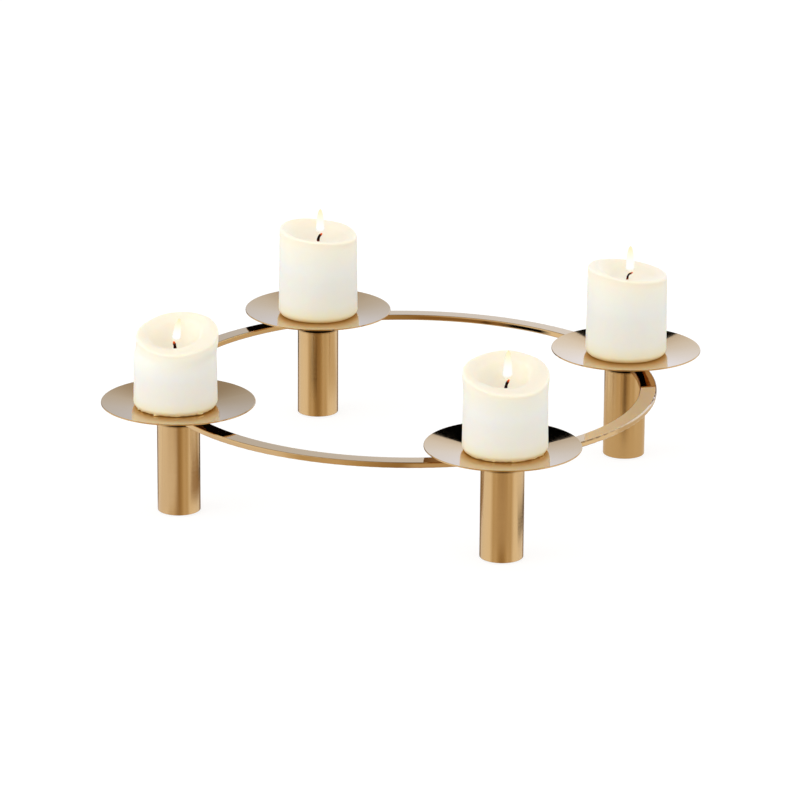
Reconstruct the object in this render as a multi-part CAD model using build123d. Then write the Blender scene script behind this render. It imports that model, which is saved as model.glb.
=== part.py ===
"""Advent candle holder with four part-burnt pillar candles.

Four dished drip plates stand on short tube posts, tied together by one flat ring of rolled bar. The threaded
shank of each candle spike clamps its plate and the ring to the post below. Millimetres, +Z up: the origin is on
the table under the ring's centre, and the first stand is on +X with the others counter-clockwise from it.
"""

import os
from math import atan2, cos, radians, sin, tan
from typing import NamedTuple

from build123d import *

# Ring of flat bar, rolled the easy way up so that it lies flat on the posts
STAND_COUNT = 4
RING_DIA = 342.5  # centreline of the bar, over the axes of the posts
BAR_WIDTH = 12.0
BAR_THICK = 4.0
BAR_ARRIS = 0.9  # drawn bar, its edges plainly rounded

# Posts: a tube with a turned head in its top, and a plug and a felt pad in its foot
POST_DIA = 30.0
POST_WALL = 1.5
TUBE_LENGTH = 64.0
TUBE_ARRIS = 0.4
HEAD_FLANGE = 1.0
HEAD_NECK = 3.8  # holds the ring off the post, with a dark gap all round
HEAD_NECK_DIA = 20.0
HEAD_SPIGOT = 12.0
SPIGOT_LEAD = 1.0
PLUG_LENGTH = 12.0
PLUG_WALL = 1.8
PLUG_RIBS = 3
PLUG_RIB_WIDTH = 1.6
PLUG_RIB_HEIGHT = 0.7
PAD_THICK = 2.0
PAD_PROUD = 0.5  # what the pad stands out of the tube, so that metal never meets the table

# Drip plates: pressed sheet, a flat seat in the middle and a shallow cone out to the rim
PLATE_DIA = 107.5
PLATE_SHEET = 1.0
PLATE_DEPTH = 5.7
PLATE_FLAT_DIA = 20.0
PLATE_BEND = 8.0
PLATE_ARRIS = 0.3

# Candle spikes: point, collar with spanner flats, and a threaded shank
SPIKE_LENGTH = 18.0
SPIKE_DIA = 5.0
SPIKE_TIP_DIA = 1.0
COLLAR_DIA = 16.0
COLLAR_FLATS = 13.0
COLLAR_THICK = 1.5
THREAD_DIA = 6.0
THREAD_ENGAGEMENT = 9.0
THREAD_LEAD = 0.8

# Candles: moulded pillars with a little draft
CANDLE_DIA = 58.5
CANDLE_DRAFT = 0.75  # degrees
CANDLE_FOOT_ROUND = 4.5
RIM_WALL = 7.0
RIM_OUTER_ROUND = 2.0
RIM_INNER_ROUND = 1.5
POOL_DRAFT = 8.0  # degrees
POOL_FLOOR_ROUND = 5.0
WICK_DIA = 2.2
WICK_FOOT = 2.0  # from the end of the spike's hole up to the foot of the wick
WICK_STEM = 1.5  # straight part of the wick above the pool
WICK_LENGTH = 7.0  # above the floor of the pool
LONG_WICK_LENGTH = 8.5

# What is left of the candles: foot to rim and rim to pool on the axis, and how far one stands off its spike
FIRST_HEIGHT = 62.0
FIRST_POOL = 7.0
SECOND_HEIGHT = 63.3
SECOND_POOL = 8.2
THIRD_HEIGHT = 54.2
THIRD_POOL = 13.0
THIRD_SHIFT = 1.9
FOURTH_HEIGHT = 55.8
FOURTH_POOL = 13.3
FOURTH_SHIFT = 1.4

# Most of a wall's thickness that a round on one of its edges takes
EDGE_SHARE = 0.45

# Clearances
PRESS_CLEARANCE = 0.05  # radial, a piece pressed into a bore
THREAD_CLEARANCE = 0.05  # radial, a thread in its tapped hole
SCREW_CLEARANCE = 0.25  # radial, a shank through a drilled hole
PAD_CLEARANCE = 0.5  # radial, a pad inside the foot of its tube
LIFT_CLEARANCE = 0.3  # a candle over its plate and spike, from which it lifts freely


class Burn(NamedTuple):
    """How far one candle has burnt down, and how it stands on its plate."""

    height: float  # from the candle's foot to its rim, on the axis
    fall: float  # slope of the rim, degrees
    fall_towards: float  # direction in which the rim falls, degrees from +X
    pool_depth: float  # from the rim to the floor of the pool, on the axis
    wick_length: float  # above the floor of the pool
    wick_lean: float  # degrees
    wick_towards: float  # degrees from +X
    shift: float  # axis of the candle from the axis of its spike
    shift_towards: float  # degrees from +X


BURNS = (
    Burn(FIRST_HEIGHT, 6.4, -22.5, FIRST_POOL, WICK_LENGTH, 50.0, -22.5, 0.0, 0.0),
    Burn(SECOND_HEIGHT, 5.9, -47.7, SECOND_POOL, WICK_LENGTH, 40.0, -22.5, 0.0, 0.0),
    Burn(THIRD_HEIGHT, 10.0, -127.3, THIRD_POOL, WICK_LENGTH, 8.0, 157.5, THIRD_SHIFT, 157.5),
    Burn(FOURTH_HEIGHT, 11.3, -112.5, FOURTH_POOL, LONG_WICK_LENGTH, 25.0, -22.5, FOURTH_SHIFT, -22.5),
)

# Levels and radii that follow from the sizes above
TUBE_FOOT = PAD_PROUD
TUBE_TOP = TUBE_FOOT + TUBE_LENGTH
FLANGE_TOP = TUBE_TOP + HEAD_FLANGE
RING_BOTTOM = FLANGE_TOP + HEAD_NECK
RING_TOP = RING_BOTTOM + BAR_THICK
PLATE_FLOOR = RING_TOP + PLATE_SHEET
COLLAR_TOP = PLATE_FLOOR + COLLAR_THICK
SPIKE_TIP = COLLAR_TOP + SPIKE_LENGTH

POST_RADIUS = POST_DIA / 2
BORE_RADIUS = POST_RADIUS - POST_WALL
SHANK_RADIUS = THREAD_DIA / 2
SCREW_HOLE_RADIUS = SHANK_RADIUS + SCREW_CLEARANCE
PLATE_FLAT_RADIUS = PLATE_FLAT_DIA / 2
PLATE_ANGLE = atan2(PLATE_DEPTH, PLATE_DIA / 2 - PLATE_FLAT_RADIUS)
CANDLE_RADIUS = CANDLE_DIA / 2


def turned(points, radii=None):
    """A solid of revolution about Z, from the (radius, height) points of its half section."""
    outline = FilletPolyline(*points, radius=radii, close=True) if radii else Polyline(*points, close=True)
    return revolve(Plane.XZ * make_face(outline), Axis.Z)


def edge_round(radius, wall):
    """A round on both edges of a wall, which leaves a flat between them."""
    return min(radius, EDGE_SHARE * wall)


def polar(distance, angle):
    """A place at a distance from the axis, in a direction in degrees from +X."""
    return Pos(distance * cos(radians(angle)), distance * sin(radians(angle)), 0)


def stand_angle(stand):
    return 360 * stand / STAND_COUNT


def ring():
    arris = edge_round(BAR_ARRIS, min(BAR_THICK, BAR_WIDTH))
    section = Pos(RING_DIA / 2, (RING_BOTTOM + RING_TOP) / 2) * RectangleRounded(BAR_WIDTH, BAR_THICK, arris)
    bar = revolve(Plane.XZ * section, Axis.Z)
    hole = Pos(0, 0, RING_BOTTOM + BAR_THICK / 2) * Cylinder(SCREW_HOLE_RADIUS, 2 * BAR_THICK)
    for stand in range(STAND_COUNT):
        bar -= polar(RING_DIA / 2, stand_angle(stand)) * hole
    return bar


def post_tube():
    arris = edge_round(TUBE_ARRIS, POST_WALL)
    points = (
        (BORE_RADIUS, TUBE_FOOT),
        (POST_RADIUS, TUBE_FOOT),
        (POST_RADIUS, TUBE_TOP),
        (BORE_RADIUS, TUBE_TOP),
    )
    return turned(points, (0, arris, 0, 0))


def post_head():
    """A tapped spigot pressed into the tube, a flange on the tube's end and a neck that carries the ring."""
    arris = edge_round(TUBE_ARRIS, HEAD_FLANGE)
    tapped = SHANK_RADIUS + THREAD_CLEARANCE
    spigot = BORE_RADIUS - PRESS_CLEARANCE
    foot = TUBE_TOP - HEAD_SPIGOT
    points = (
        (tapped, foot),
        (spigot - SPIGOT_LEAD, foot),
        (spigot, foot + SPIGOT_LEAD),
        (spigot, TUBE_TOP),
        (POST_RADIUS, TUBE_TOP),
        (POST_RADIUS, FLANGE_TOP),
        (HEAD_NECK_DIA / 2, FLANGE_TOP),
        (HEAD_NECK_DIA / 2, RING_BOTTOM),
        (tapped, RING_BOTTOM),
    )
    return turned(points, (0, 0, 0, 0, 0, arris, 0, 0, 0))


def end_plug():
    """A moulded cup with gripping ribs, its closed face down against the pad."""
    grip = BORE_RADIUS - PRESS_CLEARANCE
    skirt = grip - PLUG_RIB_HEIGHT
    top = PAD_THICK + PLUG_LENGTH
    pitch = PLUG_LENGTH / PLUG_RIBS
    points = [(0, PAD_THICK), (skirt, PAD_THICK)]
    for rib in range(PLUG_RIBS):
        middle = PAD_THICK + (2 * rib + 1) * pitch / 2
        points += [
            (skirt, middle - PLUG_RIB_WIDTH / 2),
            (grip, middle),
            (skirt, middle + PLUG_RIB_WIDTH / 2),
        ]
    points += [
        (skirt, top),
        (skirt - PLUG_WALL, top),
        (skirt - PLUG_WALL, PAD_THICK + PLUG_WALL),
        (0, PAD_THICK + PLUG_WALL),
    ]
    return turned(points)


def felt_pad():
    return Pos(0, 0, PAD_THICK / 2) * Cylinder(BORE_RADIUS - PAD_CLEARANCE, PAD_THICK)


def drip_plate():
    """One thickness of sheet all over, with its cut edge square to the cone."""
    arris = edge_round(PLATE_ARRIS, PLATE_SHEET)
    rim_radius = PLATE_DIA / 2 - PLATE_SHEET * sin(PLATE_ANGLE)
    rim_height = PLATE_FLOOR + (rim_radius - PLATE_FLAT_RADIUS) * tan(PLATE_ANGLE)
    points = (
        (SCREW_HOLE_RADIUS, RING_TOP),
        (PLATE_FLAT_RADIUS + PLATE_SHEET * tan(PLATE_ANGLE / 2), RING_TOP),
        (PLATE_DIA / 2, rim_height - PLATE_SHEET * cos(PLATE_ANGLE)),
        (rim_radius, rim_height),
        (PLATE_FLAT_RADIUS, PLATE_FLOOR),
        (SCREW_HOLE_RADIUS, PLATE_FLOOR),
    )
    return turned(points, (0, PLATE_BEND + PLATE_SHEET, arris, arris, PLATE_BEND, 0))


def candle_spike():
    foot = RING_BOTTOM - THREAD_ENGAGEMENT
    points = (
        (0, foot),
        (SHANK_RADIUS - THREAD_LEAD, foot),
        (SHANK_RADIUS, foot + THREAD_LEAD),
        (SHANK_RADIUS, PLATE_FLOOR),
        (COLLAR_DIA / 2, PLATE_FLOOR),
        (COLLAR_DIA / 2, COLLAR_TOP),
        (SPIKE_DIA / 2, COLLAR_TOP),
        (SPIKE_TIP_DIA / 2, SPIKE_TIP),
        (0, SPIKE_TIP),
    )
    spike = turned(points)
    for side in (-1, 1):
        beyond_flat = Pos(side * (COLLAR_FLATS + COLLAR_DIA) / 2, 0, PLATE_FLOOR + COLLAR_THICK / 2)
        spike -= beyond_flat * Box(COLLAR_DIA, 2 * COLLAR_DIA, COLLAR_THICK)
    return spike


def candle_foot(burn):
    """Height at which the candle's rounded foot rests on the cone of its plate, or on the spike's collar."""
    foot_radius = CANDLE_RADIUS - CANDLE_FOOT_ROUND
    on_cone = max(foot_radius + burn.shift - PLATE_FLAT_RADIUS, 0) * tan(PLATE_ANGLE)
    under_round = CANDLE_FOOT_ROUND * (1 / cos(PLATE_ANGLE) - 1)
    return max(PLATE_FLOOR + on_cone + under_round, COLLAR_TOP) + LIFT_CLEARANCE


def pillar_candle(burn):
    """A tapered pillar cut by its sloping rim, with a level pool inside and a hole pierced by the spike."""
    foot = candle_foot(burn)
    rim = foot + burn.height
    pool = rim - burn.pool_depth
    blank_top = rim + CANDLE_RADIUS
    top_radius = CANDLE_RADIUS - (blank_top - foot) * tan(radians(CANDLE_DRAFT))
    pillar = turned(
        ((0, foot), (CANDLE_RADIUS, foot), (top_radius, blank_top), (0, blank_top)),
        (0, CANDLE_FOOT_ROUND, 0, 0),
    )
    fall = radians(burn.fall)
    towards = radians(burn.fall_towards)
    rim_normal = (sin(fall) * cos(towards), sin(fall) * sin(towards), cos(fall))
    pillar = split(pillar, bisect_by=Plane((0, 0, rim), z_dir=rim_normal), keep=Keep.BOTTOM)
    rim_face = pillar.faces().filter_by(GeomType.PLANE).sort_by(Axis.Z)[-1]
    pillar = fillet(rim_face.outer_wire().edges(), RIM_OUTER_ROUND)

    rim_radius = CANDLE_RADIUS - burn.height * tan(radians(CANDLE_DRAFT)) - RIM_WALL
    floor_radius = rim_radius - burn.pool_depth * tan(radians(POOL_DRAFT))
    mouth_radius = floor_radius + (blank_top - pool) * tan(radians(POOL_DRAFT))
    pillar -= turned(
        ((0, pool), (floor_radius, pool), (mouth_radius, blank_top), (0, blank_top)),
        (0, POOL_FLOOR_ROUND, 0, 0),
    )
    rim_face = pillar.faces().filter_by(GeomType.PLANE).sort_by(Axis.Z)[-1]
    pillar = fillet(rim_face.inner_wires()[0].edges(), RIM_INNER_ROUND)

    spike_hole = turned((
        (0, COLLAR_TOP),
        (SPIKE_DIA / 2 + LIFT_CLEARANCE, COLLAR_TOP),
        (SPIKE_TIP_DIA / 2 + LIFT_CLEARANCE, SPIKE_TIP + LIFT_CLEARANCE),
        (0, SPIKE_TIP + LIFT_CLEARANCE),
    ))
    wick_foot = SPIKE_TIP + LIFT_CLEARANCE + WICK_FOOT
    channel_length = rim - wick_foot
    channel_radius = WICK_DIA / 2 + PRESS_CLEARANCE
    channel = Pos(0, 0, wick_foot + channel_length / 2) * Cylinder(channel_radius, channel_length)
    return polar(burn.shift, burn.shift_towards) * (pillar - channel) - spike_hole


def wick(burn):
    """A straight stem up the middle of the candle, curling over at its burning end."""
    pool = candle_foot(burn) + burn.height - burn.pool_depth
    stem_top = pool + WICK_STEM
    curl = burn.wick_length - WICK_STEM
    stem = Line((0, SPIKE_TIP + LIFT_CLEARANCE + WICK_FOOT), (0, stem_top))
    bend = JernArc((0, stem_top), (0, 1), curl / radians(burn.wick_lean), -burn.wick_lean)
    path = Plane.XZ * Wire([stem, bend])
    cord = sweep(Plane(path @ 0, z_dir=path % 0) * Circle(WICK_DIA / 2), path=path)
    return polar(burn.shift, burn.shift_towards) * Rot(0, 0, burn.wick_towards) * cord


os.makedirs("parts", exist_ok=True)
export_step(ring(), "parts/ring.step")
for stand in range(STAND_COUNT):
    burn = BURNS[stand % len(BURNS)]
    at_stand = polar(RING_DIA / 2, stand_angle(stand))
    pieces = {
        "felt_pad": felt_pad(),
        "end_plug": end_plug(),
        "post_tube": post_tube(),
        "post_head": post_head(),
        "drip_plate": drip_plate(),
        "candle_spike": Rot(0, 0, stand_angle(stand)) * candle_spike(),
        "pillar_candle": pillar_candle(burn),
        "wick": wick(burn),
    }
    for name, piece in pieces.items():
        export_step(at_stand * piece, f"parts/{name}_{stand + 1}.step")
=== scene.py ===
"""Looks of an advent candle holder: brass ring, posts and drip plates with four lit, part-burnt candles."""

import math
from typing import NamedTuple

import bmesh
import bpy
from mathutils import Matrix, Vector, noise


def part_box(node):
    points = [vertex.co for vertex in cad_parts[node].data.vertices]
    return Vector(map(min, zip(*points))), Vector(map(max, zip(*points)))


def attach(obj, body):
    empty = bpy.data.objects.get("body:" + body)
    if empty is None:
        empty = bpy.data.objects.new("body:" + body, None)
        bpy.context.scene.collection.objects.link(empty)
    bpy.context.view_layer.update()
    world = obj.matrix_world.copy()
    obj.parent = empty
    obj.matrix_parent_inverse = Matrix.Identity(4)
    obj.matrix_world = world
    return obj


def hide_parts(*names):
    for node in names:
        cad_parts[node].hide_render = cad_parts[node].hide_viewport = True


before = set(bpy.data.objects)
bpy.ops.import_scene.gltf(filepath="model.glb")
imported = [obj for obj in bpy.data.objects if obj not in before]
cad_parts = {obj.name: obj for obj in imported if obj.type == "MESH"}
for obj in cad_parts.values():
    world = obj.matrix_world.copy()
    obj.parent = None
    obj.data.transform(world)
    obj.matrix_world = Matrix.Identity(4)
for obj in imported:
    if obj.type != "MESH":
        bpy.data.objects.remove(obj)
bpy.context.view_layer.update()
scene = bpy.context.scene
scene.view_settings.view_transform = "Standard"
MM = 0.001
TINY = 1e-6  # metres
STANDS = (1, 2, 3, 4)
UP = Vector((0.0, 0.0, 1.0))

# The photograph's camera
CAMERA_AZIMUTH = math.radians(-22.459)
CAMERA_ELEVATION = math.radians(17.909)
CAMERA_ROLL = math.radians(0.411)
CAMERA_DISTANCE = 3306.0 * MM
CAMERA_TARGET = Vector((-4.664, 0.0, 60.954)) * MM
SENSOR_WIDTH = 36.0
FOCAL_SHARE = 5.8309  # focal length over the width of the frame
CAMERA_REACH = 50.0

# Level directions of the photograph: to its right, and away from the camera
RIGHTWARDS = Vector((math.cos(CAMERA_AZIMUTH), math.sin(CAMERA_AZIMUTH), 0.0))
AWAY = Vector((-math.sin(CAMERA_AZIMUTH), math.cos(CAMERA_AZIMUTH), 0.0))


class Burn(NamedTuple):
    """How one candle has burnt down. Lengths in mm, directions in degrees from +X."""

    stand: int
    height: float  # foot to rim on the axis
    fall: float  # slope of the rim, degrees
    fall_towards: float
    band: float  # width of the rim round the hollow
    pool_depth: float
    thick: float  # extra wax left standing on one side of the wall
    thick_towards: float
    worn: float  # how far the rim's outer edge has melted down on one side
    worn_towards: float
    flare: float  # softened rim that has spread outwards
    slump: float  # softened top that has slid to the photograph's right
    rag: float  # ragged wax round the foot
    wick_length: float
    wick_thickness: float
    wick_lean: float  # degrees
    wick_towards: float
    flame_height: float
    flame_width: float
    flame_offset: float  # middle of the flame from the wick's foot, to the photograph's right
    flame_drift: float  # tip of the flame from its foot, to the photograph's right


BURNS = (
    Burn(
        stand=1, height=62.0, fall=6.4, fall_towards=-22.5, band=4.6, pool_depth=7.0,
        thick=5.0, thick_towards=157.5, worn=0.0, worn_towards=0.0, flare=0.0, slump=0.0, rag=0.5,
        wick_length=7.0, wick_thickness=1.4, wick_lean=58.0, wick_towards=-22.5,
        flame_height=19.9, flame_width=6.8, flame_offset=1.6, flame_drift=0.2,
    ),
    Burn(
        stand=2, height=63.3, fall=5.9, fall_towards=-47.7, band=4.2, pool_depth=8.2,
        thick=1.5, thick_towards=-60.0, worn=0.0, worn_towards=0.0, flare=0.0, slump=0.0, rag=0.5,
        wick_length=7.0, wick_thickness=2.0, wick_lean=40.0, wick_towards=-22.5,
        flame_height=18.7, flame_width=6.8, flame_offset=1.4, flame_drift=0.1,
    ),
    Burn(
        stand=3, height=53.2, fall=13.0, fall_towards=-129.0, band=6.6, pool_depth=14.0,
        thick=4.5, thick_towards=-35.0, worn=2.5, worn_towards=-75.0, flare=0.2, slump=1.4, rag=2.6,
        wick_length=7.0, wick_thickness=2.2, wick_lean=12.0, wick_towards=157.5,
        flame_height=16.8, flame_width=6.4, flame_offset=0.5, flame_drift=2.6,
    ),
    Burn(
        stand=4, height=55.6, fall=11.5, fall_towards=-112.5, band=6.6, pool_depth=13.4,
        thick=4.5, thick_towards=-35.0, worn=2.5, worn_towards=-75.0, flare=1.0, slump=0.0, rag=2.6,
        wick_length=8.0, wick_thickness=2.0, wick_lean=25.0, wick_towards=-22.5,
        flame_height=20.6, flame_width=7.0, flame_offset=0.9, flame_drift=0.6,
    ),
)


def linear(colour):
    """An sRGB hex colour as the linear RGBA that shaders take."""
    shares = [int(colour[i : i + 2], 16) / 255 for i in (1, 3, 5)]
    return (*[s / 12.92 if s <= 0.04045 else ((s + 0.055) / 1.055) ** 2.4 for s in shares], 1.0)


def add(tree, kind, inputs=None, stops=None, **settings):
    """Adds a node. An input takes a value or the output socket that feeds it, a colour ramp its stops."""
    node = tree.nodes.new("ShaderNode" + kind)
    for name, value in settings.items():
        setattr(node, name, value)
    for name, value in (inputs or {}).items():
        if isinstance(value, bpy.types.NodeSocket):
            tree.links.new(value, node.inputs[name])
        else:
            node.inputs[name].default_value = value
    if stops:
        ends = node.color_ramp.elements
        ends[0].position, ends[0].color = stops[0]
        ends[1].position, ends[1].color = stops[-1]
        for position, colour in stops[1:-1]:
            ends.new(position).color = colour
    return node


def new_material(name):
    material = bpy.data.materials.new(name)
    material.use_nodes = True
    material.node_tree.nodes.clear()
    return material, material.node_tree


def grey(level):
    return (level, level, level, 1.0)


# Brass of the whole holder, a pale gold, and near-black painted shade on the heads' seats, standing for the
# shadow in the narrow gap under the ring
BRASS = linear("#CEAA76")
PAINTED_GAP_SHADE = linear("#120D08")
HEAD_SEAT_RADIUS = 15.1 * MM
SEAT_EDGE = 0.4 * MM


def satin_brass(name, middle, seat=0.0):
    """Brass brushed round its axis: fine level lines, and reflections drawn out up and down. Within the
    radius of a seat, if there is one, it is painted near-black: painted shade for the gap under the ring."""
    material, tree = new_material(name)
    line_spacing, stroke = 0.9 * MM, 26.0 * MM  # real lines are 0.1 mm apart, too fine to show
    place = add(tree, "TexCoord").outputs["Object"]
    centred = add(tree, "Mapping", {"Vector": place, "Location": -middle})
    strokes = add(tree, "Mapping", {
        "Vector": centred.outputs[0], "Scale": (1 / stroke, 1 / stroke, 1 / line_spacing),
    })
    lines = add(tree, "TexNoise", {
        "Vector": strokes.outputs[0], "Scale": 1.0, "Detail": 4.0, "Roughness": 0.65,
    })
    roughness = add(tree, "MapRange", {
        "Value": lines.outputs["Fac"], "From Min": 0.3, "From Max": 0.7, "To Min": 0.20, "To Max": 0.27,
    })
    bump = add(tree, "Bump", {"Height": lines.outputs["Fac"], "Strength": 0.08, "Distance": 0.05 * MM})
    around = add(tree, "Tangent", direction_type="RADIAL", axis="Z")
    tint = BRASS
    if seat:
        flat = add(tree, "VectorMath", {0: centred.outputs[0], 1: (1.0, 1.0, 0.0)}, operation="MULTIPLY")
        distance = add(tree, "VectorMath", {0: flat.outputs[0]}, operation="LENGTH").outputs["Value"]
        edge = add(tree, "MapRange", {"Value": distance, "From Min": seat - SEAT_EDGE, "From Max": seat})
        # Painted shade: near-black within the seat, where the gap under the ring is in shadow
        tint = add(tree, "MixRGB", {0: edge.outputs[0], 1: PAINTED_GAP_SHADE, 2: BRASS}).outputs[0]
    brass = add(tree, "BsdfPrincipled", {
        "Base Color": tint, "Metallic": 1.0, "Roughness": roughness.outputs[0], "Normal": bump.outputs[0],
        "Anisotropic": 0.9, "Anisotropic Rotation": 0.25, "Tangent": around.outputs[0],
    })
    add(tree, "OutputMaterial", {"Surface": brass.outputs[0]})
    return material


def polished_brass(name, middle):
    """Brass polished on a lathe: nearly a mirror, with faint rings about its middle."""
    material, tree = new_material(name)
    ring_spacing = 1.1 * MM  # real polishing marks are finer than the render shows
    place = add(tree, "TexCoord").outputs["Object"]
    centred = add(tree, "Mapping", {"Vector": place, "Location": -middle})
    flat = add(tree, "VectorMath", {0: centred.outputs[0], 1: (1.0, 1.0, 0.0)}, operation="MULTIPLY")
    distance = add(tree, "VectorMath", {0: flat.outputs[0]}, operation="LENGTH")
    marks = add(tree, "TexNoise", {
        "W": distance.outputs["Value"], "Scale": 1 / ring_spacing, "Detail": 3.0,
    }, noise_dimensions="1D")
    roughness = add(tree, "MapRange", {
        "Value": marks.outputs["Fac"], "From Min": 0.3, "From Max": 0.7, "To Min": 0.03, "To Max": 0.06,
    })
    brass = add(tree, "BsdfPrincipled", {
        "Base Color": BRASS, "Metallic": 1.0, "Roughness": roughness.outputs[0],
    })
    add(tree, "OutputMaterial", {"Surface": brass.outputs[0]})
    return material


def ivory_wax():
    """Stearin and paraffin wax, moulded: light goes in deep. Painted light: a gold tint and a glow at the
    foot stand for light reflected up from the brass plate, and a glow near the top and in the pool stands
    for the flame's light.
    """
    material, tree = new_material("ivory_candle_wax")
    up = add(tree, "Attribute", attribute_name="up").outputs["Fac"]
    melt_and_flame_glow = add(tree, "Attribute", attribute_name="melt_and_flame_glow").outputs["Fac"]
    # Painted reflected light: the gold low down stands for light from the brass plate falling on the foot
    tint = add(tree, "ValToRGB", {"Fac": up}, stops=(
        (0.0, linear("#D2A656")), (0.013, linear("#E4C888")), (0.036, linear("#F4E3BA")),
        (0.06, linear("#F9EFD2")), (0.1, linear("#FBF5E2")), (0.2, linear("#FBF8ED")),
        (0.62, linear("#FBF8EF")), (0.80, linear("#FBF4E8")), (0.97, linear("#F9EFDF")),
        (1.0, linear("#F5EDDC")),
    ))
    # Painted glow: the wax emits its own tint, most at the foot for light from the brass plate and near the
    # top for the flame's light through the wax
    painted_glow_ramp = add(tree, "ValToRGB", {"Fac": up}, stops=(
        (0.0, grey(0.18)), (0.02, grey(0.08)), (0.06, grey(0.0)), (0.50, grey(0.0)), (0.72, grey(0.035)),
        (0.90, grey(0.075)), (1.0, grey(0.02)),
    ))
    # Painted glow in the pool, for the flame's light falling on it
    glow = add(tree, "MapRange", {"Value": melt_and_flame_glow, "To Min": painted_glow_ramp.outputs["Color"], "To Max": 0.09})
    grain_size = 7.0 * MM
    place = add(tree, "TexCoord").outputs["Object"]
    grain = add(tree, "TexNoise", {"Vector": place, "Scale": 1 / grain_size, "Detail": 3.0})
    dry = add(tree, "MapRange", {"Value": grain.outputs["Fac"], "To Min": 0.40, "To Max": 0.55})
    roughness = add(tree, "MapRange", {"Value": melt_and_flame_glow, "To Min": dry.outputs[0], "To Max": 0.35})
    bump = add(tree, "Bump", {"Height": grain.outputs["Fac"], "Strength": 0.12, "Distance": 0.2 * MM})
    wax = add(tree, "BsdfPrincipled", {
        "Base Color": tint.outputs["Color"], "Roughness": roughness.outputs[0], "Normal": bump.outputs[0],
        "IOR": 1.44, "Specular IOR Level": 0.25,
        "Subsurface Weight": 1.0, "Subsurface Radius": (1.0, 0.8, 0.6), "Subsurface Scale": 3.5 * MM,
        "Emission Color": tint.outputs["Color"], "Emission Strength": glow.outputs[0],
    })
    add(tree, "OutputMaterial", {"Surface": wax.outputs[0]})
    return material


def charred_cotton():
    """Braided cotton wick, burnt brown-black, with an ember at its end and wax soaked into its foot."""
    material, tree = new_material("charred_cotton_wick")
    along = add(tree, "Attribute", attribute_name="up").outputs["Fac"]
    tint = add(tree, "ValToRGB", {"Fac": along}, stops=(
        (0.0, linear("#8A4A2C")), (0.14, linear("#4A1C10")), (0.32, linear("#180806")),
        (0.75, linear("#1C0805")), (1.0, linear("#5A1E0A")),
    ))
    ember = add(tree, "MapRange", {
        "Value": along, "From Min": 0.72, "From Max": 1.0, "To Min": 0.0, "To Max": 0.9,
    })
    strand = 0.8 * MM
    place = add(tree, "TexCoord").outputs["Object"]
    fibres = add(tree, "TexNoise", {"Vector": place, "Scale": 1 / strand, "Detail": 4.0})
    bump = add(tree, "Bump", {"Height": fibres.outputs["Fac"], "Strength": 0.6, "Distance": 0.2 * MM})
    cotton = add(tree, "BsdfPrincipled", {
        "Base Color": tint.outputs["Color"], "Roughness": 0.95, "Specular IOR Level": 0.1,
        "Normal": bump.outputs[0],
        "Emission Color": linear("#FF6A28"), "Emission Strength": ember.outputs[0],
    })
    add(tree, "OutputMaterial", {"Surface": cotton.outputs[0]})
    return material


def flame_glow(name, density, strength):
    """Glowing soot: white light in the flame's body, pale yellow at its tip, that thins out to its foot."""
    material, tree = new_material(name)
    along = add(tree, "Attribute", attribute_name="up").outputs["Fac"]
    tint = add(tree, "ValToRGB", {"Fac": along}, stops=(
        (0.0, linear("#FFF1D2")), (0.2, linear("#FFFFFF")), (0.5, linear("#FFFFF6")),
        (0.78, linear("#FEF8D8")), (1.0, linear("#FDEFBA")),
    ))
    thick = add(tree, "ValToRGB", {"Fac": along}, stops=(
        (0.0, grey(0.0)), (0.2, grey(density)), (1.0, grey(density)),
    ))
    clear = add(tree, "BsdfTransparent")
    glow = add(tree, "Emission", {"Color": tint.outputs["Color"], "Strength": strength})
    mixed = add(tree, "MixShader", {0: thick.outputs["Color"], 1: clear.outputs[0], 2: glow.outputs[0]})
    add(tree, "OutputMaterial", {"Surface": mixed.outputs[0]})
    return material


def turned_steel():
    """Steel turned on a lathe and zinc plated: grey, with faint feed marks."""
    material, tree = new_material("turned_plated_steel")
    feed, stroke = 0.6 * MM, 25.0 * MM
    place = add(tree, "TexCoord").outputs["Object"]
    marks = add(tree, "Mapping", {"Vector": place, "Scale": (1 / stroke, 1 / stroke, 1 / feed)})
    lines = add(tree, "TexNoise", {"Vector": marks.outputs[0], "Scale": 1.0, "Detail": 2.0})
    roughness = add(tree, "MapRange", {"Value": lines.outputs["Fac"], "To Min": 0.22, "To Max": 0.42})
    steel = add(tree, "BsdfPrincipled", {
        "Base Color": linear("#C9C6BE"), "Metallic": 1.0, "Roughness": roughness.outputs[0],
    })
    add(tree, "OutputMaterial", {"Surface": steel.outputs[0]})
    return material


def moulded_plastic():
    """Polyethylene, moulded black: dull, with a fine grain from the tool."""
    material, tree = new_material("moulded_black_polyethylene")
    grain_size = 0.5 * MM
    place = add(tree, "TexCoord").outputs["Object"]
    grain = add(tree, "TexNoise", {"Vector": place, "Scale": 1 / grain_size, "Detail": 2.0})
    roughness = add(tree, "MapRange", {"Value": grain.outputs["Fac"], "To Min": 0.45, "To Max": 0.65})
    plastic = add(tree, "BsdfPrincipled", {
        "Base Color": linear("#1C1B1A"), "Roughness": roughness.outputs[0],
    })
    add(tree, "OutputMaterial", {"Surface": plastic.outputs[0]})
    return material


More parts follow.
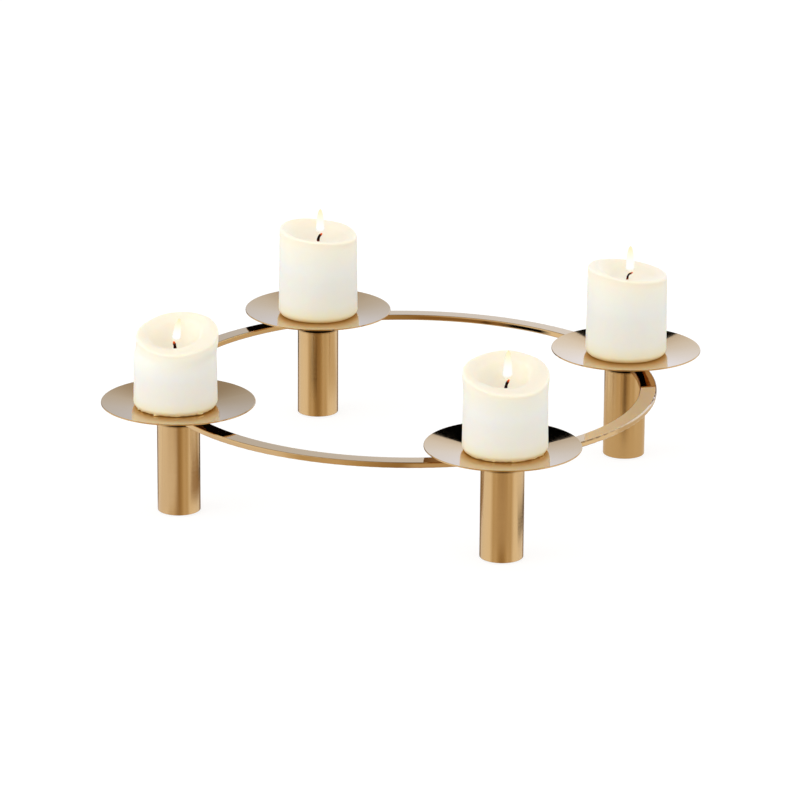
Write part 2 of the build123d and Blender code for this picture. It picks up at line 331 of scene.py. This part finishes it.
def pressed_felt():
    """Wool felt, pressed: matted fibres with a soft, dusty face."""
    material, tree = new_material("pressed_brown_felt")
    fibre = 0.7 * MM
    place = add(tree, "TexCoord").outputs["Object"]
    fibres = add(tree, "TexNoise", {"Vector": place, "Scale": 1 / fibre, "Detail": 5.0, "Distortion": 1.5})
    tint = add(tree, "ValToRGB", {"Fac": fibres.outputs["Fac"]}, stops=(
        (0.0, linear("#3A2C22")), (1.0, linear("#6B5645")),
    ))
    bump = add(tree, "Bump", {"Height": fibres.outputs["Fac"], "Strength": 0.6, "Distance": 0.3 * MM})
    felt = add(tree, "BsdfPrincipled", {
        "Base Color": tint.outputs["Color"], "Roughness": 0.95, "Sheen Weight": 0.4,
        "Normal": bump.outputs[0],
    })
    add(tree, "OutputMaterial", {"Surface": felt.outputs[0]})
    return material


def paint(node, material):
    """Gives a CAD node its finish."""
    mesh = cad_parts[node].data
    mesh.materials.clear()
    mesh.materials.append(material)


def new_object(name, bm, material):
    mesh = bpy.data.meshes.new(name)
    bm.to_mesh(mesh)
    bm.free()
    mesh.materials.append(material)
    thing = bpy.data.objects.new(name, mesh)
    scene.collection.objects.link(thing)
    return thing


def finish_piece(name, bm, material, body, replaced=()):
    """Makes a smooth-shaded piece of a bmesh and lets it ride on a body."""
    piece = new_object(name, bm, material)
    piece.data.shade_smooth()
    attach(piece, body)
    if replaced:
        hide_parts(*replaced)


def arc(centre, radius, start, end, steps):
    """Points of an arc in a half section, with angles in degrees from outwards."""
    turns = [math.radians(start + (end - start) * i / steps) for i in range(steps + 1)]
    return [(centre[0] + radius * math.cos(t), centre[1] + radius * math.sin(t)) for t in turns]


def spun(points, steps):
    """A bmesh turned about Z from the (radius, height) points of its half section."""
    bm = bmesh.new()
    verts = [bm.verts.new((r, 0.0, z)) for r, z in points]
    edges = [bm.edges.new(pair) for pair in zip(verts, verts[1:])]
    bmesh.ops.spin(
        bm, geom=verts + edges, cent=(0, 0, 0), axis=(0, 0, 1), dvec=(0, 0, 0),
        angle=2 * math.pi, steps=steps, use_merge=True, use_duplicate=False,
    )
    bmesh.ops.remove_doubles(bm, verts=bm.verts, dist=TINY)
    bmesh.ops.recalc_face_normals(bm, faces=bm.faces)
    return bm


NOISE_GAIN = 1.6  # brings the noise to about -1 to 1


def wave(angle, seed, parts):
    """A smooth uneven line round a circle, within about -1 to 1. More parts give shorter waves."""
    return noise.noise(Vector((math.cos(angle) * parts, math.sin(angle) * parts, seed))) * NOISE_GAIN


def smooth_step(low, high, value):
    """0 below the low value and 1 above the high one, with a soft rise between."""
    share = min(max((value - low) / (high - low), 0.0), 1.0)
    return share * share * (3 - 2 * share)


def level_direction(degrees):
    turn = math.radians(degrees)
    return Vector((math.cos(turn), math.sin(turn), 0.0))


def stand_axis(stand):
    """Middle of a stand's post, on the table."""
    low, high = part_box(f"post_tube_{stand}")
    return Vector(((low.x + high.x) / 2, (low.y + high.y) / 2, 0.0))


# Candles
CANDLE_SIDES = 288
FOOT_ROUND = 4.5 * MM
FOOT_DROP = 0.25 * MM  # closes most of the clearance that the CAD candle has over its plate
FOOT_STEPS = 16
FOOT_UP = 0.1  # the underside is as pale as the side a little way up
SPIKE_HOLE_RADIUS = 2.8 * MM
SPIKE_HOLE_TIP = 0.8 * MM
SPIKE_CLEARANCE = 0.3 * MM
SIDE_STEPS = 32
TOP_TAPER = 0.8 * MM
RIM_ROUND = 1.6 * MM
RIM_STEPS = 9
RIM_BAND_FALL = math.radians(20.0)  # down towards the pool
BOWL_POWER = 2.8
BOWL_STEPS = 18
POOL_RADIUS = 1.5 * MM

# Unevenness of the wax: how deep, and how many parts round the candle
RIM_LUMPS, RIM_PARTS = 0.5 * MM, 1.2
WALL_LUMPS, WALL_PARTS = 0.8 * MM, 1.1
SIDE_LUMPS, SIDE_PARTS = 0.15 * MM, 1.5
SIDE_LUMP_HEIGHT = 25 * MM
DRIP_HEIGHT = 1.8 * MM
DRIP_SHARE, DRIP_WAVE, DRIP_PARTS = 0.35, 0.65, 10.0
PLATE_SLOPE = 0.13  # under the drips
SIDE_SEED, WALL_SEED, DRIP_SEED = 10, 20, 30

# Where the heat has softened the wax, in shares of the height or of the hollow's radius
WORN_EDGE = (0.85, 1.0)
FLARED = (0.70, 0.97)
SLUMPED = (0.70, 0.86)
HOLLOW_WALL = (0.3, 0.9)
THICK_POWER = 1.5
MELT_TOP = 0.7


def candle_section(radius, foot, rim, pool, band, hole_top):
    """Half section of a candle, from the top of its spike's hole round to the middle of its pool."""
    crest = radius - TOP_TAPER - RIM_ROUND
    foot_edge = radius - FOOT_ROUND
    side_foot, side_top = foot + FOOT_ROUND, rim - RIM_ROUND
    points = [(0.0, hole_top), (SPIKE_HOLE_TIP, hole_top), (SPIKE_HOLE_RADIUS, foot), (foot_edge / 2, foot)]
    points += arc((foot_edge, side_foot), FOOT_ROUND, -90, 0, FOOT_STEPS)
    for i in range(1, SIDE_STEPS):
        share = i / SIDE_STEPS
        points.append((radius - TOP_TAPER * share, side_foot + (side_top - side_foot) * share))
    points += arc((crest, side_top), RIM_ROUND, 0, 90 + math.degrees(RIM_BAND_FALL), RIM_STEPS)
    band_start = points[-1]
    bowl_radius = band_start[0] - band * math.cos(RIM_BAND_FALL)
    bowl_top = band_start[1] - band * math.sin(RIM_BAND_FALL)
    points.append(((band_start[0] + bowl_radius) / 2, (band_start[1] + bowl_top) / 2))
    for i in range(BOWL_STEPS):
        share = 1 - i / BOWL_STEPS
        points.append((
            POOL_RADIUS + (bowl_radius - POOL_RADIUS) * share,
            pool + (bowl_top - pool) * share ** BOWL_POWER,
        ))
    points += [(POOL_RADIUS * share, pool) for share in (1.0, 0.5, 0.0)]
    return points, crest


def candle(burn, wax):
    """A tapered pillar with a soft uneven rim, a hollowed top and a level pool, for the CAD candle."""
    node = f"pillar_candle_{burn.stand}"
    low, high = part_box(node)
    axis = Vector(((low.x + high.x) / 2, (low.y + high.y) / 2, 0.0))
    radius = (high.x - low.x) / 2
    foot = low.z - FOOT_DROP
    rim = low.z + burn.height * MM
    pool = rim - burn.pool_depth * MM
    hole_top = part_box(f"candle_spike_{burn.stand}")[1].z + SPIKE_CLEARANCE
    points, crest = candle_section(radius, foot, rim, pool, burn.band * MM, hole_top)
    bm = spun(points, CANDLE_SIDES)
    up = bm.verts.layers.float.new("up")
    melt_and_flame_glow = bm.verts.layers.float.new("melt_and_flame_glow")
    fall = math.tan(math.radians(burn.fall))
    downhill = level_direction(burn.fall_towards)
    thick_side = level_direction(burn.thick_towards)
    worn_side = level_direction(burn.worn_towards)
    spike_offset = stand_axis(burn.stand) - axis
    for vert in bm.verts:
        flat = Vector((vert.co.x, vert.co.y, 0.0))
        outward = flat.normalized() if flat.length > TINY else Vector()
        angle = math.atan2(flat.y, flat.x)
        height = vert.co.z
        if flat.length < SPIKE_HOLE_RADIUS + TINY and height < hole_top + TINY:
            vert.co += spike_offset
            vert[up] = FOOT_UP
            continue
        inside = flat.length < crest - TINY and height > pool - TINY
        base = pool if inside else foot
        share = min(max((height - base) / (rim - base), 0.0), 1.0)
        side_seed = burn.stand + SIDE_SEED + height / SIDE_LUMP_HEIGHT
        move = outward * SIDE_LUMPS * wave(angle, side_seed, SIDE_PARTS)
        worn = burn.worn * MM * max(outward.dot(worn_side), 0.0)
        if inside:
            move -= UP * worn * smooth_step(crest - burn.band * MM, crest, flat.length)
            wall = smooth_step(*HOLLOW_WALL, flat.length / crest)
            left_standing = max(outward.dot(thick_side), 0.0) ** THICK_POWER
            move -= outward * wall * burn.thick * MM * left_standing
            move += outward * wall * WALL_LUMPS * wave(angle, burn.stand + WALL_SEED, WALL_PARTS)
            # The molten pool: smoother wax there, and a painted glow for the flame's light
            vert[melt_and_flame_glow] = 1 - smooth_step(0.0, MELT_TOP, share)
            vert[up] = 1.0
        else:
            move -= UP * worn * smooth_step(*WORN_EDGE, share)
            move += outward * smooth_step(*FLARED, share) * burn.flare * MM
            vert[up] = (height - foot) / (rim - foot)
            if flat.length > radius - FOOT_ROUND - TINY:
                near_foot = 1 - smooth_step(0.0, DRIP_HEIGHT, height - foot)
                drips = DRIP_SHARE + DRIP_WAVE * wave(angle, burn.stand + DRIP_SEED, DRIP_PARTS)
                drip = near_foot * burn.rag * MM * max(drips, 0.0)
                move += (outward + UP * PLATE_SLOPE) * drip
            elif height < foot + TINY:
                vert[up] = FOOT_UP
        move += RIGHTWARDS * burn.slump * MM * smooth_step(*SLUMPED, 1.0 if inside else share)
        move += UP * share * (RIM_LUMPS * wave(angle, burn.stand, RIM_PARTS) - fall * flat.dot(downhill))
        vert.co += move
    bmesh.ops.translate(bm, verts=bm.verts, vec=axis)
    finish_piece(f"wax_pillar_{burn.stand}", bm, wax, f"candle_{burn.stand}", [node])


# Wicks
WICK_STEPS = 14
WICK_SIDES = 14
WICK_SUNK = 2.0 * MM
WICK_CURL = 1.25  # the burnt end leans further than the wick as a whole
WICK_BENT = (0.05, 1.0)
WICK_BURNT = (0.7, 1.0)
BURNT_AWAY = 0.5
PLAIT_SWELL, PLAIT_TURNS = 0.08, 9
FRAY, FRAY_SIZE = 0.18 * MM, 0.7 * MM


def wick_line(burn):
    """Points along a wick, from inside the wax to its burnt end."""
    low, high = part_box(f"pillar_candle_{burn.stand}")
    foot = (low + high) / 2
    foot.z = low.z + (burn.height - burn.pool_depth) * MM
    side = level_direction(burn.wick_towards)
    points = [foot - UP * WICK_SUNK, foot]
    for i in range(1, WICK_STEPS + 1):
        turn = math.radians(burn.wick_lean) * WICK_CURL * smooth_step(*WICK_BENT, i / WICK_STEPS)
        step = side * math.sin(turn) + UP * math.cos(turn)
        points.append(points[-1] + step * burn.wick_length * MM / WICK_STEPS)
    return points


def wick(burn, cotton):
    """A braided cord, thinned and ragged where it has burnt."""
    points = wick_line(burn)
    bm = bmesh.new()
    up = bm.verts.layers.float.new("up")
    loop = None
    for i, point in enumerate(points):
        share = max(i - 1, 0) / WICK_STEPS
        ahead = (points[min(i + 1, len(points) - 1)] - points[max(i - 1, 0)]).normalized()
        turn = ahead.to_track_quat("Z", "Y").to_matrix().to_4x4()
        plaited = 1.0 + PLAIT_SWELL * math.sin(PLAIT_TURNS * share)
        thinned = plaited - BURNT_AWAY * smooth_step(*WICK_BURNT, share)
        size = burn.wick_thickness / 2 * MM * thinned
        place = Matrix.Translation(point) @ turn
        made = bmesh.ops.create_circle(bm, segments=WICK_SIDES, radius=size, matrix=place)
        for vert in made["verts"]:
            rough = noise.noise(vert.co / FRAY_SIZE) * FRAY
            vert.co += (vert.co - point).normalized() * rough
            vert[up] = share
        edges = list({edge for vert in made["verts"] for edge in vert.link_edges})
        if loop:
            bmesh.ops.bridge_loops(bm, edges=loop + edges)
        loop = edges
    bmesh.ops.holes_fill(bm, edges=bm.edges, sides=WICK_SIDES)
    bmesh.ops.recalc_face_normals(bm, faces=bm.faces)
    finish_piece(
        f"burnt_wick_{burn.stand}", bm, cotton, f"candle_{burn.stand}",
        [f"wick_{burn.stand}"],
    )


# Flames: three shells of light each, with their girth and density
FLAME_SHELLS = (("flame_core", 0.66, 1.0), ("flame_mantle", 0.84, 0.6), ("flame_veil", 1.0, 0.35))
FLAME_STRENGTH = 1.04
FLAME_STEPS = 28
FLAME_SIDES = 32
FLAME_NARROWING, NARROWING_POWER = 0.45, 1.5
TIP_POWER = 6
FLAME_FOOT = 0.15  # share of the height in which the foot widens
DRAUGHT_POWER = 1.2
SHELL_FOOT, SHELL_TIP = 0.04, 0.10  # how much shorter a thinner shell is, at each end


def flame(burn, name, material, girth):
    """A column of light over the wick, narrowing to a blunt tip and leaning with the draught."""
    start, end = SHELL_FOOT - SHELL_FOOT * girth, 1 - SHELL_TIP + SHELL_TIP * girth
    line = wick_line(burn)
    foot = line[1] + RIGHTWARDS * burn.flame_offset * MM
    foot.z = max(point.z for point in line)
    height = burn.flame_height * MM
    outline = []
    for i in range(FLAME_STEPS + 1):
        share = i / FLAME_STEPS
        fullness = 1 - FLAME_NARROWING * share ** NARROWING_POWER
        fullness *= math.sqrt(1 - share ** TIP_POWER) * math.sqrt(min(share / FLAME_FOOT, 1.0))
        radius = burn.flame_width * MM / 2 * girth * fullness
        outline.append((radius, (start + share * (end - start)) * height))
    bm = spun(outline, FLAME_SIDES)
    up = bm.verts.layers.float.new("up")
    for vert in bm.verts:
        rise = vert.co.z / height
        vert[up] = (rise - start) / (end - start)
        vert.co += foot + RIGHTWARDS * burn.flame_drift * MM * max(rise, 0.0) ** DRAUGHT_POWER
    finish_piece(f"{name}_{burn.stand}", bm, material, f"candle_{burn.stand}")


# Felt pads
PAD_SIDES = 72
PAD_EDGE = 0.5 * MM
PAD_EDGE_STEPS = 4
FUZZ, FUZZ_SIZE = 0.12 * MM, 1.1 * MM


def foot_pad(stand, felt):
    """A felt disc with a soft edge."""
    low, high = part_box(f"felt_pad_{stand}")
    radius = (high.x - low.x) / 2
    points = [(0.0, low.z)] + arc((radius - PAD_EDGE, low.z + PAD_EDGE), PAD_EDGE, -90, 0, PAD_EDGE_STEPS)
    points += [(radius, high.z), (0.0, high.z)]
    bm = spun(points, PAD_SIDES)
    for vert in bm.verts:
        flat = Vector((vert.co.x, vert.co.y, 0.0))
        if flat.length > radius - PAD_EDGE:
            vert.co += flat.normalized() * FUZZ * (noise.noise(vert.co / FUZZ_SIZE) - 1)
    bmesh.ops.translate(bm, verts=bm.verts, vec=stand_axis(stand))
    finish_piece(f"felt_disc_{stand}", bm, felt, "holder", [f"felt_pad_{stand}"])


# Soft light on everything, brighter from the sides than from above
SOFT_SIDES = (1.89, 1.88, 1.85, 1.0)
SOFT_TOP = (0.48, 0.47, 0.46, 1.0)

# What the metal sees: bright sides, a dim warm room round the camera and a dark band high on the walls
ROOM_LOOK = (  # degrees from the camera's direction, and the light from there
    (180.0, (0.26, 0.19, 0.12, 1.0)), (148.0, (0.30, 0.22, 0.14, 1.0)), (136.0, (1.02, 1.05, 1.12, 1.0)),
    (90.0, (1.12, 1.16, 1.27, 1.0)), (64.0, (1.10, 1.11, 1.16, 1.0)), (48.0, (0.72, 0.62, 0.46, 1.0)),
    (31.0, (0.80, 0.70, 0.57, 1.0)), (20.0, (0.62, 0.50, 0.32, 1.0)), (9.0, (0.48, 0.35, 0.20, 1.0)),
    (0.0, (0.44, 0.32, 0.18, 1.0)),
)
BAND_LIGHT = (0.03, 0.022, 0.015, 1.0)
DARK_BAND = (  # sine of the angle above the horizon, and depth
    (0.50, 0.0), (0.56, 0.5), (0.60, 0.4), (0.68, 0.0),
)


def metal_ray(tree, rays):
    """1 for what is seen in the metal itself, 0 for light that goes on to the wax or the floor."""
    first = add(tree, "Math", {0: rays.outputs["Diffuse Depth"], 1: 0.5}, operation="LESS_THAN")
    both = add(tree, "Math", {0: rays.outputs["Is Glossy Ray"], 1: first.outputs[0]}, operation="MULTIPLY")
    return both.outputs[0]


def studio_world():
    """White to the camera, one room to the metal and plain soft light to everything else."""
    world = bpy.data.worlds.new("studio")
    scene.world = world
    world.use_nodes = True
    tree = world.node_tree
    tree.nodes.clear()
    rays = add(tree, "LightPath")
    sight = add(tree, "TexCoord").outputs["Generated"]
    level = add(tree, "VectorMath", {0: sight, 1: (1.0, 1.0, 0.0)}, operation="MULTIPLY")
    level = add(tree, "VectorMath", {0: level.outputs[0]}, operation="NORMALIZE")
    nearness = add(tree, "VectorMath", {0: level.outputs[0], 1: -AWAY}, operation="DOT_PRODUCT")
    share = add(tree, "MapRange", {"Value": nearness.outputs["Value"], "From Min": -1.0, "From Max": 1.0})
    stops = [((1 + math.cos(math.radians(angle))) / 2, light) for angle, light in ROOM_LOOK]
    room = add(tree, "ValToRGB", {"Fac": share.outputs[0]}, stops=stops)
    height = add(tree, "SeparateXYZ", {0: sight}).outputs["Z"]
    dark = add(tree, "ValToRGB", {"Fac": height}, stops=[(sine, grey(depth)) for sine, depth in DARK_BAND])
    room = add(tree, "MixRGB", {0: dark.outputs["Color"], 1: room.outputs["Color"], 2: BAND_LIGHT})
    soft = add(tree, "MixRGB", {0: height, 1: SOFT_SIDES, 2: SOFT_TOP})
    for_metal = add(tree, "Background", {"Color": room.outputs[0], "Strength": 1.0})
    for_all = add(tree, "Background", {"Color": soft.outputs[0], "Strength": 1.0})
    white = add(tree, "Background", {"Color": grey(1.0), "Strength": 1.0})
    light = add(tree, "MixShader", {
        0: metal_ray(tree, rays), 1: for_all.outputs[0], 2: for_metal.outputs[0],
    })
    seen = add(tree, "MixShader", {
        0: rays.outputs["Is Camera Ray"], 1: light.outputs[0], 2: white.outputs[0],
    })
    add(tree, "OutputWorld", {"Surface": seen.outputs[0]})


# The metal sees past the floor, but for these pale and dark patches of it: painted reflections, glowing only
# for the metal's reflections. Places in metres
PAINTED_REFLECTION_PATCHES = (  # left and right edges, near and far edges, softness, light
    ((-0.105, -0.020), (-0.090, 0.000), 0.02, (0.35, 0.22, 0.10, 1.0)),
    ((-0.150, -0.105), (0.010, 0.060), 0.02, (0.004, 0.003, 0.002, 1.0)),
    ((-0.175, -0.100), (0.300, 0.420), 0.03, (0.004, 0.003, 0.002, 1.0)),
    ((0.020, 0.400), (0.000, 0.200), 0.03, (0.80, 0.73, 0.62, 1.0)),
    ((-0.092, -0.078), (-0.022, 0.080), 0.008, (0.06, 0.03, 0.01, 1.0)),
    ((0.135, 0.165), (-0.160, -0.045), 0.015, (0.04, 0.014, 0.003, 1.0)),
    ((0.020, 0.110), (-0.400, -0.220), 0.03, (0.69, 0.59, 0.47, 1.0)),
    ((-0.360, -0.185), (-0.250, -0.070), 0.03, (0.98, 1.00, 1.12, 1.0)),
)
FLOOR_RADIUS = 12.0
FLOOR_GREY = 0.45
FLOOR_GLOW = 0.4  # share of plain white in what the camera sees
FLOOR_WHITE = 2.0


def white_floor():
    """A paper floor that keeps the holder's shadow."""
    bm = bmesh.new()
    bmesh.ops.create_circle(bm, cap_ends=True, segments=96, radius=FLOOR_RADIUS)
    material, tree = new_material("white_paper_floor")
    rays = add(tree, "LightPath")
    place = add(tree, "TexCoord").outputs["Object"]
    across = add(tree, "VectorMath", {0: place, 1: RIGHTWARDS}, operation="DOT_PRODUCT").outputs["Value"]
    along = add(tree, "VectorMath", {0: place, 1: AWAY}, operation="DOT_PRODUCT").outputs["Value"]
    for_metal = add(tree, "BsdfTransparent")
    # Painted reflections: each patch glows only in what the metal reflects
    for sides, ends, softness, light in PAINTED_REFLECTION_PATCHES:
        patch = add(tree, "Emission", {"Color": light, "Strength": 1.0})
        inside = None
        for value, edges in ((across, sides), (along, ends)):
            middle, half = sum(edges) / 2, (edges[1] - edges[0]) / 2
            offset = add(tree, "Math", {0: value, 1: middle}, operation="SUBTRACT").outputs[0]
            offset = add(tree, "Math", {0: offset}, operation="ABSOLUTE").outputs[0]
            within = add(tree, "MapRange", {
                "Value": offset, "From Min": half, "From Max": half + softness, "To Min": 1.0, "To Max": 0.0,
            }).outputs[0]
            if inside:
                within = add(tree, "Math", {0: inside, 1: within}, operation="MULTIPLY").outputs[0]
            inside = within
        for_metal = add(tree, "MixShader", {0: inside, 1: for_metal.outputs[0], 2: patch.outputs[0]})
    paper = add(tree, "BsdfDiffuse", {"Color": grey(FLOOR_GREY)})
    white = add(tree, "Emission", {"Color": grey(1.0), "Strength": FLOOR_WHITE})
    direct = add(tree, "Math", {
        0: rays.outputs["Is Camera Ray"], 1: rays.outputs["Is Transmission Ray"],
    }, operation="MAXIMUM")
    glow = add(tree, "Math", {0: direct.outputs[0], 1: FLOOR_GLOW}, operation="MULTIPLY")
    seen = add(tree, "MixShader", {0: glow.outputs[0], 1: paper.outputs[0], 2: white.outputs[0]})
    both = add(tree, "MixShader", {0: metal_ray(tree, rays), 1: seen.outputs[0], 2: for_metal.outputs[0]})
    add(tree, "OutputMaterial", {"Surface": both.outputs[0]})
    new_object("floor", bm, material)


def reflected_card(name, material, left, right, low, high, far):
    """An upright card behind the holder that shows in the metal and nowhere else. Sizes in metres."""
    bm = bmesh.new()
    corners = ((left, low), (right, low), (right, high), (left, high))
    bm.faces.new([bm.verts.new(AWAY * far + RIGHTWARDS * side + UP * z) for side, z in corners])
    card = new_object(name, bm, material)
    card.visible_camera = card.visible_diffuse = card.visible_shadow = card.visible_transmission = False


# Cards behind the holder, in metres
CARD_DISTANCE = 1.72
CARD_GAP = 0.02
FLAG_SIDES = (-0.10, 0.42)
FLAG_FOOT, FLAG_TOP = 0.92, 2.6
BACKDROP_HALF_WIDTH = 2.5
BACKDROP_TOP = 1.4
GRADED_HALF_WIDTH = 0.37  # across which the backdrop brightens
BACKDROP_LIGHT = (0.68, 1.26)  # at the left and the right


def backdrop_cards():
    """A pale backdrop, brighter to the right and dimmer above, and a black flag over its right half."""
    material, tree = new_material("lit_backdrop")
    place = add(tree, "TexCoord").outputs["Object"]
    across = add(tree, "VectorMath", {0: place, 1: RIGHTWARDS}, operation="DOT_PRODUCT").outputs["Value"]
    height = add(tree, "SeparateXYZ", {0: place}).outputs["Z"]
    side = add(tree, "MapRange", {
        "Value": across, "From Min": -GRADED_HALF_WIDTH, "From Max": GRADED_HALF_WIDTH,
        "To Min": BACKDROP_LIGHT[0], "To Max": BACKDROP_LIGHT[1],
    })
    risen = add(tree, "MapRange", {"Value": height, "From Min": 0.0, "From Max": BACKDROP_TOP})
    tint = add(tree, "ValToRGB", {"Fac": risen.outputs[0]}, stops=(
        (0.0, (0.92, 1.06, 1.40, 1.0)), (0.40, (0.89, 1.05, 1.40, 1.0)), (0.57, (0.84, 0.96, 1.22, 1.0)),
        (0.72, (0.66, 0.69, 0.78, 1.0)), (0.88, (0.52, 0.51, 0.54, 1.0)),
    ))
    warmth = add(tree, "ValToRGB", {"Fac": side.outputs[0]}, stops=(
        (0.70, (0.98, 0.94, 0.87, 1.0)), (0.95, grey(1.0)),
    ))
    tint = add(tree, "MixRGB", {
        0: 1.0, 1: tint.outputs["Color"], 2: warmth.outputs["Color"],
    }, blend_type="MULTIPLY")
    glow = add(tree, "Emission", {"Color": tint.outputs[0], "Strength": side.outputs[0]})
    add(tree, "OutputMaterial", {"Surface": glow.outputs[0]})
    reflected_card(
        "lit_backdrop", material, -BACKDROP_HALF_WIDTH, BACKDROP_HALF_WIDTH, 0.0, BACKDROP_TOP,
        CARD_DISTANCE + CARD_GAP,
    )
    material, tree = new_material("black_flag")
    black = add(tree, "BsdfDiffuse", {"Color": grey(0.0)})
    add(tree, "OutputMaterial", {"Surface": black.outputs[0]})
    reflected_card("black_flag", material, *FLAG_SIDES, FLAG_FOOT, FLAG_TOP, CARD_DISTANCE)


SOFTBOX_SIZE = (1.4, 1.0)  # metres
SOFTBOX_POWER = 7.0  # watts
SOFTBOX_PLACE = UP * 1.1 - RIGHTWARDS * 1.6 - AWAY * 0.5


def left_softbox():
    """A soft lamp up on the left, which doesn't show in the metal."""
    lamp = bpy.data.lights.new("left_softbox", "AREA")
    lamp.shape, lamp.energy = "RECTANGLE", SOFTBOX_POWER
    lamp.size, lamp.size_y = SOFTBOX_SIZE
    softbox = bpy.data.objects.new("left_softbox", lamp)
    aim = (-SOFTBOX_PLACE).to_track_quat("-Z", "Y").to_matrix().to_4x4()
    softbox.matrix_world = Matrix.Translation(SOFTBOX_PLACE) @ aim
    softbox.visible_glossy = False
    scene.collection.objects.link(softbox)


def photograph_camera():
    """The photograph's viewpoint, with its slight roll."""
    lens = bpy.data.cameras.new("photograph")
    lens.sensor_width = SENSOR_WIDTH
    lens.lens = FOCAL_SHARE * SENSOR_WIDTH
    lens.clip_end = CAMERA_REACH
    back = -AWAY * math.cos(CAMERA_ELEVATION) + UP * math.sin(CAMERA_ELEVATION)
    up = back.cross(RIGHTWARDS)
    turned_right = RIGHTWARDS * math.cos(CAMERA_ROLL) + up * math.sin(CAMERA_ROLL)
    turned_up = up * math.cos(CAMERA_ROLL) - RIGHTWARDS * math.sin(CAMERA_ROLL)
    pose = Matrix((turned_right, turned_up, back)).transposed().to_4x4()
    camera = bpy.data.objects.new("photograph", lens)
    camera.matrix_world = Matrix.Translation(CAMERA_TARGET + back * CAMERA_DISTANCE) @ pose
    scene.collection.objects.link(camera)
    scene.camera = camera


photograph_camera()
studio_world()
white_floor()
backdrop_cards()
left_softbox()

wax = ivory_wax()
cotton = charred_cotton()
shells = [(name, flame_glow(name, density, FLAME_STRENGTH), girth) for name, girth, density in FLAME_SHELLS]
steel = turned_steel()
plastic = moulded_plastic()
felt = pressed_felt()

paint("ring", polished_brass("polished_brass_ring", Vector()))
for stand in STANDS:
    middle = stand_axis(stand)
    paint(f"post_tube_{stand}", satin_brass(f"satin_brass_post_{stand}", middle))
    paint(f"post_head_{stand}", satin_brass(f"satin_brass_head_{stand}", middle, HEAD_SEAT_RADIUS))
    paint(f"drip_plate_{stand}", polished_brass(f"polished_brass_plate_{stand}", middle))
    paint(f"candle_spike_{stand}", steel)
    paint(f"end_plug_{stand}", plastic)
    foot_pad(stand, felt)
for burn in BURNS:
    candle(burn, wax)
    wick(burn, cotton)
    for name, material, girth in shells:
        flame(burn, name, material, girth)
